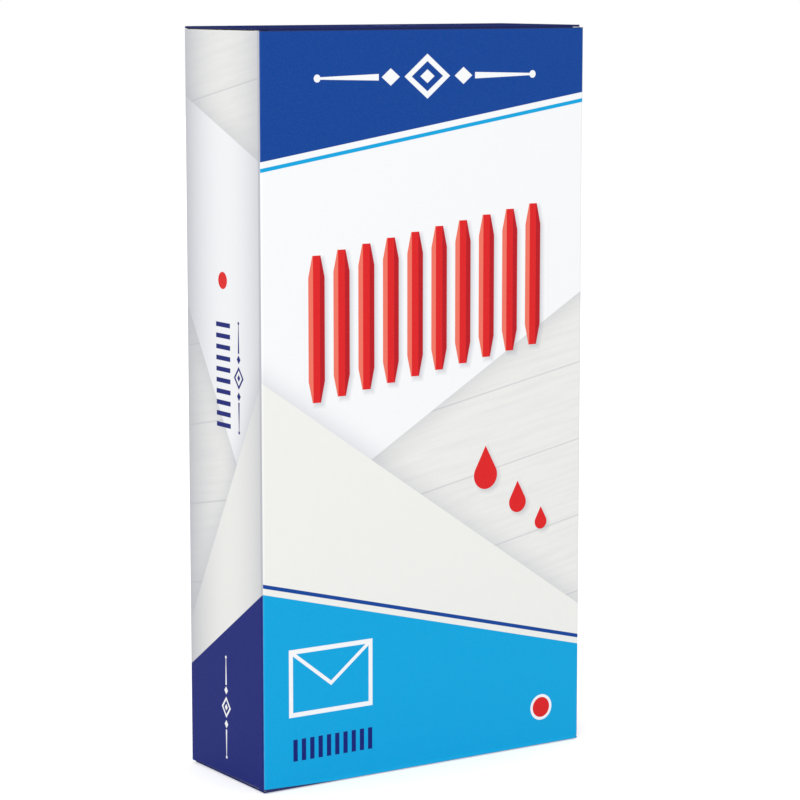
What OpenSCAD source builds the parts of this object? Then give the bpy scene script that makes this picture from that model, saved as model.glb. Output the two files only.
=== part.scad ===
// Folding carton of printed board with ten sticks of sealing wax inside.
// Reverse tuck: the top lid folds from the back wall and tucks in behind the front wall,
// and the bottom lid folds from the front wall and tucks in behind the back wall.
// The origin is the middle of the carton's footprint, on the surface that it stands on.
// +Z is up, and the front wall faces -Y.

/* [Wax sticks] */
// Width of a stick across its flat face
stick_w = 17.4; // [14:0.1:22]
// Thickness of a stick, from its flat face to its narrow face
stick_t = 15.8; // [13:0.1:20]
// Length of a stick
stick_l = 170; // [120:1:220]
// How far the mould's draft draws in each side at the top of its wall
stick_draft = 0.5; // [0.1:0.1:1.2]
// Width of the slope beside the narrow face
slope_w = 3; // [1:0.1:4]
// Height of the slope beside the narrow face
slope_h = 3.6; // [1:0.1:6]
// Length of the taper at each end of a stick
tip_l = 20; // [16:1:40]
// Width that the taper leaves at the end
tip_w = 9; // [5:0.5:11]
// Thickness that the taper leaves at the end
tip_t = 4.8; // [3:0.1:5.5]

/* [Packing] */
// Room between sticks that lie side by side
stick_gap = 0.35; // [0.3:0.05:1]
// Room between the two rows of sticks
row_gap = 0.4; // [0.3:0.05:1]
// Room between the sticks and the walls
wall_room = 0.5; // [0.4:0.05:1.5]
// Room between a stick's end and what it stands on
seat_gap = 0.1; // [0.05:0.05:0.3]
// Room above the sticks, under the dust flaps
headspace = 3.5; // [2:0.1:10]

/* [Board and folds] */
// Thickness of the board
board = 0.5; // [0.3:0.05:0.7]
// Outer radius of the four long folds
fold_r = 0.8; // [0.75:0.05:1.2]
// Outer radius of the folds of the lids and flaps
crease_r = 0.35; // [0.1:0.05:0.5]
// Radius of the two corners at a wall's free edge
corner_r = 1; // [0.3:0.1:3]
// How far a wall's free edge stays back from the outside of the lid that tucks in behind it
edge_drop = 0.6; // [0.1:0.1:1.5]

/* [Lids] */
// How much narrower than the carton a lid is at each end of its fold
lid_inset = 0.3; // [0.1:0.05:1]
// How much each side of a lid draws in from its fold to its free edge
lid_taper = 0.5; // [0.1:0.1:2]
// Room between a lid's free edge and the wall that it tucks behind
tuck_gap = 0.3; // [0.2:0.05:0.8]
// Length of a tuck flap
tuck_l = 10; // [6:0.5:11]
// How much shorter than the lid a tuck flap is at each end
tuck_inset = 2; // [1:0.5:8]
// Radius of a tuck flap's corners
tuck_corner_r = 5; // [2:0.5:5.5]
// Turn of a tuck flap for each turn of its lid
tuck_follow = 0.15; // [0.05:0.05:0.3]

/* [Dust flaps] */
// Length of a dust flap, from its fold to its tip
dust_l = 22; // [14:1:22]
// Turn of a dust flap for each turn of its lid
dust_follow = 0.5; // [0.3:0.05:0.6]
// Distance of a dust flap's slanted edge from the lid's fold, at the side wall
dust_back = 2; // [1:0.5:4]
// Room between a dust flap and the tuck flap in front of it
dust_front = 1; // [0.7:0.1:3]
// Size of the cut corners at a dust flap's tip
dust_chamfer = 2; // [0.5:0.5:4]
// Room between a lid and the dust flaps under it
flap_gap = 0.2; // [0.15:0.05:0.5]

/* [Glued seam] */
// Width of the glue flap
glue_flap_w = 14; // [10:1:15]
// Distance from each end of the carton to the glue flap, at its fold
glue_flap_end = 4; // [2:0.5:10]
// How much shorter the glue flap's free edge is at each end
glue_flap_slant = 6; // [2:0.5:12]
// Thickness of the glue line
glue_t = 0.1; // [0.05:0.05:0.2]
// Width of the glue line
glue_w = 8; // [4:0.5:9]

/* [Hidden] */
$fn = 64;

// Five sticks lie side by side, in two rows from front to back.
columns = 5;
rows = 2;
stick_count = columns * rows;

// The carton's size follows from what it holds.
inner_w = columns * stick_w + (columns - 1) * stick_gap + 2 * wall_room;
inner_d = rows * stick_t + (rows - 1) * row_gap + 2 * wall_room;
seam_t = board + glue_t;
carton_w = inner_w + 2 * board + seam_t;
carton_d = inner_d + 2 * board;
closure_t = 2 * board + flap_gap;
carton_h = 2 * closure_t + seat_gap + stick_l + headspace;

left_x = -carton_w / 2;
right_x = carton_w / 2;
front_y = -carton_d / 2;
back_y = carton_d / 2;

// The inside of the tube, between the left wall and the glue flap.
inside_mid_x = (left_x + board + right_x - board - seam_t) / 2;

// The outer face of the glue flap, and how far its ends are from the carton's ends.
glue_flap_x = right_x - seam_t;

// A lid reaches from its fold at the back wall to just behind the front wall.
lid_under_z = carton_h - board;
lid_front_y = front_y + board + tuck_gap;
lid_l = back_y - lid_front_y;
lid_half_w = carton_w / 2 - lid_inset;
tuck_half_w = lid_half_w - lid_taper - tuck_inset;

// A tuck flap leans in far enough to swing out past the wall in front of it: the lid's swing
// needs l * l / (2 * reach), and the flap's own turn adds tuck_follow * l * l / reach.
swing_room = 0.15;
tuck_lean = tuck_l * tuck_l * (1 + 2 * tuck_follow) / (2 * lid_l) + swing_room;
tuck_r = (tuck_l * tuck_l + tuck_lean * tuck_lean) / (2 * tuck_lean);

// A dust flap lies under the lid. Its slanted edge stays below the lid while both turn.
dust_top_z = lid_under_z - flap_gap;
side_top_z = dust_top_z - board;
dust_front_y = lid_front_y + board + dust_front;
dust_back_y = back_y - dust_back;
dust_tip_back_y = dust_back_y - dust_follow * dust_l;

// The outer sticks stand on the bottom dust flaps, and the others on the bottom lid.
outer_seat_z = closure_t + seat_gap;
inner_seat_z = board + seat_gap;

// A block between two opposite corners.
module block(low, high) {
    translate(low)
        cube(high - low);
}

// Turns an outline drawn in X and Z into a plate from low_y to high_y.
module plate_xz(low_y, high_y) {
    translate([0, high_y, 0])
        rotate([90, 0, 0])
            linear_extrude(high_y - low_y)
                children();
}

// Turns an outline drawn in Y and Z into a bar from -half_w to half_w along X.
module bar_yz(half_w) {
    translate([-half_w, 0, 0])
        rotate([90, 0, 90])
            linear_extrude(2 * half_w)
                children();
}

// Puts a piece of the top closure at the bottom, half a turn about the carton's X axis.
module at_bottom() {
    translate([0, 0, carton_h])
        rotate([180, 0, 0])
            children();
}

// Section of a quarter fold in the board, turned about its centre.
module fold_section(centre, turn) {
    translate(centre)
        rotate(turn)
            intersection() {
                difference() {
                    circle(r = fold_r);
                    circle(r = fold_r - board);
                }
                square(fold_r);
            }
}

// Outline of a wall that is folded at its lower end and free at its upper one, where its two
// corners are round.
module wall_outline(low_x, high_x) {
    top_z = carton_h - edge_drop;
    translate([low_x, board])
        square([high_x - low_x, top_z - corner_r - board]);
    translate([low_x + corner_r, board])
        square([high_x - low_x - 2 * corner_r, top_z - board]);
    for (x = [low_x + corner_r, high_x - corner_r])
        translate([x, top_z - corner_r])
            circle(r = corner_r);
}

// The front wall carries the bottom lid's fold, and its upper edge is free.
module front_panel() {
    half_w = carton_w / 2 - fold_r;
    color("white")
        plate_xz(front_y, front_y + board)
            wall_outline(-half_w, half_w);
}

// The back wall carries the top lid's fold, and its lower edge is free. It ends where the
// glue flap folds away from it.
module back_panel() {
    color("whitesmoke")
        at_bottom()
            plate_xz(front_y, front_y + board)
                wall_outline(left_x + fold_r, glue_flap_x - fold_r);
}

// The left wall turns into the front wall and into the back wall through two long folds.
module left_side_panel() {
    color("gainsboro")
        translate([0, 0, closure_t])
            linear_extrude(side_top_z - closure_t) {
                translate([left_x, front_y + fold_r])
                    square([board, carton_d - 2 * fold_r]);
                fold_section([left_x + fold_r, front_y + fold_r], 180);
                fold_section([left_x + fold_r, back_y - fold_r], 90);
            }
}

// The right wall turns into the front wall, and ends in a cut edge over the glue flap.
module right_side_panel() {
    color("gainsboro")
        translate([0, 0, closure_t])
            linear_extrude(side_top_z - closure_t) {
                translate([right_x - board, front_y + fold_r])
                    square([board, carton_d - fold_r]);
                fold_section([right_x - fold_r, front_y + fold_r], 270);
            }
}

// The glue flap folds forward from the back wall, inside the right wall, with slanted ends.
module glue_flap() {
    free_y = back_y - glue_flap_w;
    free_end = glue_flap_end + glue_flap_slant;
    color("tan")
        intersection() {
            linear_extrude(carton_h) {
                translate([glue_flap_x - board, free_y])
                    square([board, glue_flap_w - fold_r]);
                fold_section([glue_flap_x - fold_r, back_y - fold_r], 0);
            }
            bar_yz(carton_w)
                polygon([
                    [back_y, glue_flap_end],
                    [back_y, carton_h - glue_flap_end],
                    [free_y, carton_h - free_end],
                    [free_y, free_end]
                ]);
        }
}

// The glue line lies along the middle of the glue flap and fills the gap to the right wall.
module glue_line() {
    mid_y = back_y - (fold_r + glue_flap_w) / 2;
    end_z = glue_flap_end + glue_flap_slant;
    low = [glue_flap_x, mid_y - glue_w / 2, end_z];
    high = [glue_flap_x + glue_t, mid_y + glue_w / 2, carton_h - end_z];
    color("khaki")
        block(low, high);
}

// Outline of a lid in its own plane: its sides draw in towards the free edge.
module lid_outline() {
    free_half_w = lid_half_w - lid_taper;
    polygon([
        [-lid_half_w, back_y],
        [lid_half_w, back_y],
        [free_half_w, lid_front_y],
        [-free_half_w, lid_front_y]
    ]);
}

// Section of a lid: its two outer edges are rounded by the folds.
module lid_section() {
    translate([lid_front_y, lid_under_z])
        square([lid_l, board - crease_r]);
    translate([lid_front_y + crease_r, lid_under_z])
        square([lid_l - 2 * crease_r, board]);
    for (y = [lid_front_y + crease_r, back_y - crease_r])
        translate([y, carton_h - crease_r])
            intersection() {
                circle(r = crease_r);
                translate([-crease_r, 0])
                    square([2 * crease_r, crease_r]);
            }
}

// The lid seats on the back wall's upper edge. It turns about its outer back edge.
module lid_panel() {
    color("midnightblue")
        intersection() {
            bar_yz(lid_half_w)
                lid_section();
            translate([0, 0, lid_under_z])
                linear_extrude(board)
                    lid_outline();
        }
}

// Section of a tuck flap: it leaves the lid at a right angle and curls in towards its tip.
module tuck_section() {
    intersection() {
        translate([lid_front_y + tuck_r, lid_under_z])
            difference() {
                circle(r = tuck_r);
                circle(r = tuck_r - board);
            }
        translate([lid_front_y, lid_under_z - tuck_l])
            square([tuck_l, tuck_l]);
    }
}

// Outline of a tuck flap seen from the front, with two round corners.
module tuck_outline() {
    straight_l = tuck_l - tuck_corner_r;
    translate([-tuck_half_w, lid_under_z - straight_l])
        square([2 * tuck_half_w, straight_l]);
    translate([-tuck_half_w + tuck_corner_r, lid_under_z - tuck_l])
        square([2 * (tuck_half_w - tuck_corner_r), tuck_l]);
    for (side = [-1, 1])
        translate([side * (tuck_half_w - tuck_corner_r), lid_under_z - straight_l])
            circle(r = tuck_corner_r);
}

// The tuck flap hangs from the lid's free edge, behind the front wall.
module tuck_flap() {
    color("lightsteelblue")
        intersection() {
            bar_yz(tuck_half_w)
                tuck_section();
            plate_xz(front_y, back_y)
                tuck_outline();
        }
}

// Outline of the left dust flap: one edge is slanted, and its tip has two cut corners.
module dust_outline() {
    tip_x = left_x + dust_l;
    slant_cut = dust_chamfer * (1 + dust_follow);
    polygon([
        [left_x, dust_front_y],
        [tip_x - dust_chamfer, dust_front_y],
        [tip_x, dust_front_y + dust_chamfer],
        [tip_x, dust_tip_back_y - dust_chamfer],
        [tip_x - dust_chamfer, dust_tip_back_y - dust_chamfer + slant_cut],
        [left_x, dust_back_y]
    ]);
}

// Section of the left dust flap, with its outer edge rounded by the fold.
module dust_section() {
    translate([left_x, side_top_z])
        square([dust_l, board - crease_r]);
    translate([left_x + crease_r, side_top_z])
        square([dust_l - crease_r, board]);
    translate([left_x + crease_r, dust_top_z - crease_r])
        intersection() {
            circle(r = crease_r);
            translate([-crease_r, 0])
                square([2 * crease_r, crease_r]);
        }
}

// The dust flap seats on the side wall's upper edge. It turns about its outer edge.
module left_dust_flap() {
    color("steelblue")
        intersection() {
            plate_xz(dust_front_y, dust_back_y)
                dust_section();
            translate([0, 0, side_top_z])
                linear_extrude(board)
                    dust_outline();
        }
}

module right_dust_flap() {
    mirror([1, 0, 0])
        left_dust_flap();
}

// Section of a stick as it leaves its open mould. Its flat face lies on Y = 0.
module stick_section() {
    half_w = stick_w / 2;
    wall_half_w = half_w - stick_draft;
    polygon([
        [-half_w, 0],
        [half_w, 0],
        [wall_half_w, stick_t - slope_h],
        [wall_half_w - slope_w, stick_t],
        [-wall_half_w + slope_w, stick_t],
        [-wall_half_w, stick_t - slope_h]
    ]);
}

// Outline that is full_w wide and tapers to end_w at both ends of the stick.
module tapered_outline(full_w, end_w) {
    polygon([
        [-end_w / 2, 0],
        [end_w / 2, 0],
        [full_w / 2, tip_l],
        [full_w / 2, stick_l - tip_l],
        [end_w / 2, stick_l],
        [-end_w / 2, stick_l],
        [-full_w / 2, stick_l - tip_l],
        [-full_w / 2, tip_l]
    ]);
}

// A moulded stick, standing on its end: three extruded outlines give it its tapered tips.
module moulded_stick() {
    color("firebrick")
        intersection() {
            linear_extrude(stick_l)
                stick_section();
            plate_xz(0, stick_t)
                tapered_outline(stick_w, tip_w);
            translate([0, stick_t / 2, 0])
                bar_yz(stick_w)
                    tapered_outline(stick_t, tip_t);
        }
}

// Stick number i, counted from the left, front row first. The rows stand back to back.
module wax_stick(i) {
    column = (i - 1) % columns;
    front_row = i <= columns;
    x = inside_mid_x + (column - (columns - 1) / 2) * (stick_w + stick_gap);
    outer = column == 0 || column == columns - 1;
    z = outer ? outer_seat_z : inner_seat_z;
    translate([x, front_row ? -row_gap / 2 : row_gap / 2, z])
        rotate(front_row ? 180 : 0)
            moulded_stick();
}

front_panel();
back_panel();
left_side_panel();
right_side_panel();
glue_flap();
glue_line();
lid_panel();  // top_lid_panel
tuck_flap();  // top_tuck_flap
left_dust_flap();  // top_left_dust_flap
right_dust_flap();  // top_right_dust_flap
at_bottom() lid_panel();  // bottom_lid_panel
at_bottom() tuck_flap();  // bottom_tuck_flap
at_bottom() left_dust_flap();  // bottom_left_dust_flap
at_bottom() right_dust_flap();  // bottom_right_dust_flap
for (i = [1:stick_count])
    wax_stick(i);
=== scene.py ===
# %% [markdown]
# # A folding carton of sealing wax sticks
#
# The object is a printed folding carton, closed and standing, that holds ten sticks of sealing
# wax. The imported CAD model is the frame: it gives each piece its place, and this script gives the
# pieces their finish. Everything below is in metres, so a size in millimetres is written times MM.

import math
from contextlib import contextmanager

import bmesh
import bpy
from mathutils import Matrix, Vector


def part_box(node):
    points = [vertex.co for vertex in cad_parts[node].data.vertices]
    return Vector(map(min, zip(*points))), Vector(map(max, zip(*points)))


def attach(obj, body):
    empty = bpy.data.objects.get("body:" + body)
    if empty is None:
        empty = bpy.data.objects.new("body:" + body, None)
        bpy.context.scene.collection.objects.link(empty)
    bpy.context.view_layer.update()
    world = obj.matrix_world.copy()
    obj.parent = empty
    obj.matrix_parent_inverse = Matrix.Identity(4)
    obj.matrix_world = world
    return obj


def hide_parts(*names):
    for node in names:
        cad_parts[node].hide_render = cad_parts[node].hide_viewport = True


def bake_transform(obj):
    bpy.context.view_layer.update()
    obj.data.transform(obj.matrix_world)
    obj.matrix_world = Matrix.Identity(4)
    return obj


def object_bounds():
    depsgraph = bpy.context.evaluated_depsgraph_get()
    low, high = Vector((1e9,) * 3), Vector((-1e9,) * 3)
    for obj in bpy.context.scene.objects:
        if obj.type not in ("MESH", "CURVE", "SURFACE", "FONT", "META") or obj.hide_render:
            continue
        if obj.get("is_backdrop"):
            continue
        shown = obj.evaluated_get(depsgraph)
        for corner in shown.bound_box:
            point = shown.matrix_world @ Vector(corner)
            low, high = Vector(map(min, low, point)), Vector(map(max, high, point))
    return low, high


MM = 0.001
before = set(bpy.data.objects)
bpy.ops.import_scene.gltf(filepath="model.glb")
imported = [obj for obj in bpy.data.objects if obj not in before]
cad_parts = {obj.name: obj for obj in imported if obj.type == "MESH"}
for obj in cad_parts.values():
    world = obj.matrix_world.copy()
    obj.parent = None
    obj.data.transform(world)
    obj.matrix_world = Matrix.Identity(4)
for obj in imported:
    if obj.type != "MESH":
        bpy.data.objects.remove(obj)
cad_low, cad_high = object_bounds()
print("The carton measures", [round(side / MM, 1) for side in cad_high - cad_low], "mm")

# %% [markdown]
# ## Camera
#
# The photograph looks down a little on the front left edge, from far enough away that the upright
# edges stay almost parallel. A long lens at the right distance gives that; a wide lens close by
# would make the carton taper. The values come from matching the carton's corners.

# %% Place the camera
CAMERA_PLACE = Vector((-380.2, -577.3, 186.0)) * MM
CAMERA_TURN = math.radians(33.62)
CAMERA_TILT = math.radians(-8.19)
LENS = 130.5

bpy.ops.object.select_all(action="DESELECT")
bpy.ops.object.camera_add(location=CAMERA_PLACE, rotation=(math.pi / 2 + CAMERA_TILT, 0, -CAMERA_TURN))
camera = bpy.context.object
camera.data.lens = LENS
bpy.context.scene.camera = camera
print("The camera stands", round(CAMERA_PLACE.length, 3), "m from the carton's foot")

# %% [markdown]
# ## Floor and backdrop
#
# A pack shot stands on a white sweep. One big plane does for it. The camera sees it a little
# lighter than it is, up to white, so the floor runs into the background and still keeps the
# carton's shadow. Its underside can be seen through, and light that left the carton less than two
# millimetres above it passes, so that the bottom is lit and can be looked at from below.

# %% Lay the floor
FLOOR_SIZE = 6.0
FLOOR_DROP = 0.2 * MM
FLOOR_GREY, FLOOR_MOTTLE = 0.82, 0.005
FLOOR_GRAIN = 40.0  # over the floor's width
FLOOR_LIFT = 0.44
CLEAR_REACH = 2.0 * MM


def add_node(tree, kind, inputs=(), **settings):
    """Adds a node. inputs gives its sockets values, or the sockets that feed them."""
    node = tree.nodes.new(kind)
    for name, value in settings.items():
        setattr(node, name, value)
    for key, value in dict(inputs).items():
        if isinstance(value, bpy.types.NodeSocket):
            tree.links.new(value, node.inputs[key])
        else:
            node.inputs[key].default_value = value
    return node


def math_node(tree, operation, *inputs, **settings):
    """Adds a Math node and gives its result's socket."""
    settings["operation"] = operation
    return add_node(tree, "ShaderNodeMath", dict(enumerate(inputs)), **settings).outputs[0]


def new_material(name):
    """A node material, and its tree with nothing in it but the output."""
    material = bpy.data.materials.new(name)
    material.use_nodes = True
    tree = material.node_tree
    tree.nodes.remove(tree.nodes["Principled BSDF"])
    return material, tree


def finish_with(tree, shader):
    """Sends a shader's socket to the material's output."""
    tree.links.new(shader, tree.nodes["Material Output"].inputs["Surface"])


floor_finish, tree = new_material("studio_floor")
light_path = add_node(tree, "ShaderNodeLightPath").outputs
grain = add_node(tree, "ShaderNodeTexNoise", {"Scale": FLOOR_GRAIN, "Detail": 3.0})
levels = {0: grain.outputs[0], 3: FLOOR_GREY - FLOOR_MOTTLE, 4: FLOOR_GREY + FLOOR_MOTTLE}
paper = add_node(tree, "ShaderNodeMapRange", levels)
diffuse = add_node(tree, "ShaderNodeBsdfDiffuse", {"Color": paper.outputs[0]})
lift = math_node(tree, "MULTIPLY", light_path["Is Camera Ray"], FLOOR_LIFT)
glow = add_node(tree, "ShaderNodeEmission", {"Strength": lift})
lit = add_node(tree, "ShaderNodeAddShader", {0: diffuse.outputs[0], 1: glow.outputs[0]})
clear = add_node(tree, "ShaderNodeBsdfTransparent")
close_by = math_node(tree, "LESS_THAN", light_path["Ray Length"], CLEAR_REACH)
from_below = add_node(tree, "ShaderNodeNewGeometry").outputs["Backfacing"]
let_through = math_node(tree, "MAXIMUM", from_below, close_by)
open_below = {0: let_through, 1: lit.outputs[0], 2: clear.outputs[0]}
finish_with(tree, add_node(tree, "ShaderNodeMixShader", open_below).outputs[0])

bpy.ops.object.select_all(action="DESELECT")
bpy.ops.mesh.primitive_plane_add(size=FLOOR_SIZE, location=(0, 0, -FLOOR_DROP))
floor = bpy.context.object
floor.name = "floor"
floor.data.materials.append(floor_finish)
floor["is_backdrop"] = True
print("The floor is", FLOOR_SIZE, "m wide")

# %% [markdown]
# ## Light
#
# The photograph is lit softly from all round, with the front a little brighter than the side. A
# plain white surround does most of it, and one large soft lamp in front on the camera's side adds
# the rest. Together they come to about the level at which a colour renders as it is written.

# %% Light the scene
SURROUND_LEVEL = 0.86
LAMP_PLACE = Vector((-1.00, -0.95, 0.70))
LAMP_AIM = Vector((0, 0, 0.09))
LAMP_SIZE = 1.1
LAMP_POWER = 6.4

world = bpy.data.worlds.new("studio_surround")
bpy.context.scene.world = world
world.use_nodes = True
tree = world.node_tree
seen = add_node(tree, "ShaderNodeLightPath").outputs["Is Camera Ray"]
level = add_node(tree, "ShaderNodeMapRange", {0: seen, 3: SURROUND_LEVEL, 4: 1.0})
surround = tree.nodes["Background"].inputs
surround["Color"].default_value = (1, 1, 1, 1)
tree.links.new(level.outputs[0], surround["Strength"])

bpy.ops.object.select_all(action="DESELECT")
bpy.ops.object.light_add(type="AREA", location=LAMP_PLACE)
lamp = bpy.context.object
lamp.data.size = LAMP_SIZE
lamp.data.energy = LAMP_POWER
lamp.rotation_euler = (LAMP_AIM - LAMP_PLACE).to_track_quat("-Z", "Y").to_euler()
bpy.context.scene.view_settings.view_transform = "Standard"
print("The lamp has", LAMP_POWER, "W over", LAMP_SIZE, "m")

# %% [markdown]
# ## How the carton is made
#
# A carton starts as one flat sheet of board, printed on one side. A die cuts its outline and
# presses a crease into each fold, the seam is glued, and the box is folded up. So every piece of
# it is a plate of the same thickness with three finishes: print outside, bare board inside, and
# the cut edge, where the board's core shows.
#
# Each wall and flap could be one plane with a Solidify modifier. A block that is cut, extruded and
# bevelled is used here, because a fold has a round outside and a sharp inside, and a block gives
# each of them its own edge. Small helpers do the work: they add a block, select a piece, open it
# for editing, and pick parts of it by their place.

# %% Helpers for modelling a piece
CLOSE = 0.001 * MM


def add_block(name, low, high):
    """A block between two opposite corners. Its object stays at the origin."""
    bpy.ops.object.select_all(action="DESELECT")
    low, high = Vector(low), Vector(high)
    bpy.ops.mesh.primitive_cube_add(size=1, location=(low + high) / 2, scale=high - low)
    bpy.ops.object.transform_apply(location=True, rotation=True, scale=True)
    block = bpy.context.object
    block.name = name
    block.data.name = name
    return block


def select_only(piece):
    """Selects one piece, makes it the active one, and deselects all others."""
    bpy.ops.object.select_all(action="DESELECT")
    piece.select_set(True)
    bpy.context.view_layer.objects.active = piece


@contextmanager
def editing(piece):
    """Edit mode on one piece, and object mode again afterwards."""
    select_only(piece)
    bpy.ops.object.mode_set(mode="EDIT")
    yield
    bpy.ops.object.mode_set(mode="OBJECT")


def lies_in(part, spans):
    """Whether all corners of a vertex, edge or face lie within the spans of x, y and z."""
    corners = [part] if isinstance(part, bmesh.types.BMVert) else part.verts
    for axis, span in spans.items():
        low, high = span if isinstance(span, tuple) else (span, span)
        places = [getattr(corner.co, axis) for corner in corners]
        if min(places) < low - CLOSE or max(places) > high + CLOSE:
            return False
    return True


def pick(piece, kind, **spans):
    """In edit mode, selects the VERTs, EDGEs or FACEs that lie within spans, and nothing else."""
    bpy.ops.mesh.select_mode(type=kind)
    bpy.ops.mesh.select_all(action="DESELECT")
    work = bmesh.from_edit_mesh(piece.data)
    parts = {"VERT": work.verts, "EDGE": work.edges, "FACE": work.faces}[kind]
    found = [part for part in parts if lies_in(part, spans)]
    for part in found:
        part.select_set(True)
    bmesh.update_edit_mesh(piece.data)
    return len(found)


print("Parts closer than", CLOSE / MM, "mm to a place count as on it")

# %% [markdown]
# ## Cuts, extrusions and rounded edges
#
# These wrap the operators that the board needs over and over. A knife cut is a bisect, and it
# either only adds a line or also takes away what lies beyond it. A die leaves the cut edges a
# little rounded, so each rim gets a bevel a twentieth of a millimetre wide. Where two pieces of
# the same sheet meet, their ends stay square, so that no groove shows between them.

# %% Helpers for cutting and rounding
RIM_R = 0.05 * MM
RIM_STEPS = 2
SHARP = math.radians(40)
SMOOTH_BELOW = math.radians(30)


def cut(point, direction, remove=False):
    """Cuts the whole mesh with a plane, and may remove what lies on the direction's side."""
    bpy.ops.mesh.select_all(action="SELECT")
    bpy.ops.mesh.bisect(
        plane_co=point, plane_no=direction, use_fill=remove, clear_outer=remove, threshold=CLOSE
    )


def extrude(move):
    """Extrudes the picked faces."""
    bpy.ops.mesh.extrude_region_move(TRANSFORM_OT_translate={"value": move})


def round_picked(radius, steps):
    """Bevels the picked edges."""
    bpy.ops.mesh.bevel(offset=radius, segments=steps, profile=0.5, affect="EDGES", clamp_overlap=True)


def round_rims(piece, flush=()):
    """Rounds the sharp edges of a piece, apart from those in the flush places."""
    with editing(piece):
        bpy.ops.mesh.select_mode(type="EDGE")
        bpy.ops.mesh.select_all(action="DESELECT")
        bpy.ops.mesh.edges_select_sharp(sharpness=SHARP)
        work = bmesh.from_edit_mesh(piece.data)
        for edge in work.edges:
            if edge.select and any(lies_in(edge, spans) for spans in flush):
                edge.select_set(False)
        bmesh.update_edit_mesh(piece.data)
        round_picked(RIM_R, RIM_STEPS)
        bpy.ops.mesh.select_all(action="SELECT")
        bpy.ops.mesh.dissolve_degenerate(threshold=CLOSE)
    bpy.ops.object.shade_smooth_by_angle(angle=SMOOTH_BELOW)


print("The cut edges are rounded by", RIM_R / MM, "mm")

# %% [markdown]
# ## Sizes from the frame
#
# The frame's boxes say where each wall is. The board's thickness, the round of the long folds and
# the carton's outer faces are worked out from them, so nothing is typed twice. A crease reaches a
# third of a millimetre over the outside. A strip of the wall that it leaves belongs to the flap's
# piece, so that the fold is one surface.

# %% Read the sizes
front_low, front_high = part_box("front_panel")
back_low, back_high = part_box("back_panel")
left_low, left_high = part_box("left_side_panel")
right_low, right_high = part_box("right_side_panel")
seam_low, seam_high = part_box("glue_flap")
lid_low, lid_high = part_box("top_lid_panel")
tuck_low, tuck_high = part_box("top_tuck_flap")
dust_low, dust_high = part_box("top_left_dust_flap")

BOARD = front_high.y - front_low.y
FOLD_R = front_low.x - left_low.x
HEIGHT = cad_high.z
LEFT, RIGHT = cad_low.x, cad_high.x
FRONT, BACK = cad_low.y, cad_high.y
CREASE_R = 0.35 * MM
STRIP = BOARD
print("The board is", round(BOARD / MM, 2), "mm thick and turns its long folds on", round(FOLD_R / MM, 2))

# %% [markdown]
# ## Finishing a piece of board
#
# When a piece has its shape, each face gets one of the three finishes. The face's normal tells
# which: a face that looks outwards is printed, one that looks inwards is bare, and any other one
# is a cut edge. The piece also notes each corner's place on the closed carton, in millimetres, as
# an attribute. The print is drawn from that note, so it stays put when a fold bends the board.

# %% Helpers for finishing a piece of board
FACES_OUT = 0.5  # a face looks outwards where its cosine is above this
carton_middle = (cad_low + cad_high) / 2


def nearest_wall(place):
    """Name of the wall whose outer face is nearest to a place, so that a print ends at the fold."""
    depths = {
        "front": place.y - FRONT,
        "back": BACK - place.y,
        "left": place.x - LEFT,
        "right": RIGHT - place.x,
    }
    return min(depths, key=depths.get)


def tidy(piece):
    """Merges doubled corners and turns all faces outwards."""
    with editing(piece):
        bpy.ops.mesh.select_all(action="SELECT")
        bpy.ops.mesh.remove_doubles(threshold=CLOSE)
        bpy.ops.mesh.normals_make_consistent(inside=False)


def give_finishes(piece, outward, print_for):
    """Sorts the faces into print, bare board and cut edge. print_for names the print at a place."""
    names = ["bare", "edge"]
    for face in piece.data.polygons:
        facing = face.normal.dot(outward(face.center).normalized())
        name = print_for(face.center, face.normal) if facing > FACES_OUT else "edge"
        if facing < -FACES_OUT:
            name = "bare"
        if name not in names:
            names.append(name)
        face.material_index = names.index(name)
    for name in names:
        piece.data.materials.append(FINISHES[name])


def even_out(piece):
    """Lets the big flat faces set the shading, so that the rounded rims don't tilt it."""
    select_only(piece)
    even = piece.modifiers.new("even_shading", "WEIGHTED_NORMAL")
    even.keep_sharp = True
    bpy.ops.object.modifier_apply(modifier=even.name)


def note_places(piece):
    """Keeps each corner's place on the closed carton, in millimetres."""
    places = piece.data.attributes.new("place", "FLOAT_VECTOR", "POINT")
    for note, corner in zip(places.data, piece.data.vertices):
        note.vector = corner.co / MM


print("The carton's middle is at", [round(side / MM, 1) for side in carton_middle], "mm")

# %% [markdown]
# ## The four walls
#
# The front wall's top edge is cut, and its bottom edge runs into the bottom lid's fold. The back
# wall is the same, upside down. The side walls carry the long folds: a quarter turn of board, made
# by spinning the wall's end face. Beside each dust flap's fold they stand as high as the front
# wall's cut edge, so that the carton's corners close. A spin can turn a mesh inside out, so it is
# tidied afterwards.

# %% Model the front and the back wall
CORNER_R = 0.25 * MM
CORNER_STEPS = 4


def make_broad_wall(name, low, high, free_z):
    """A wall between low and high. The two corners at its cut edge, at free_z, lose their point."""
    wall = add_block(name, low, high)
    with editing(wall):
        for x in (low.x, high.x):
            pick(wall, "EDGE", x=x, z=free_z)
            round_picked(CORNER_R, CORNER_STEPS)
    return wall


strip_up = Vector((0, 0, STRIP))
front_wall = make_broad_wall("front_wall", front_low + strip_up, front_high, front_high.z)
back_wall = make_broad_wall("back_wall", back_low, back_high - strip_up, back_low.z)

fold_ends = [{"x": x} for x in (front_low.x, front_high.x, back_high.x)]
lid_ends = [{"z": front_low.z + STRIP}, {"z": back_high.z - STRIP}]
for wall in (front_wall, back_wall):
    round_rims(wall, fold_ends + lid_ends)
    print(wall.name, "has", len(wall.data.polygons), "faces")

# %% Model the two side walls
FOLD_STEPS = 8
CORNER_TAB = STRIP + front_high.z - left_high.z
DUST_SLANT = 0.5
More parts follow.
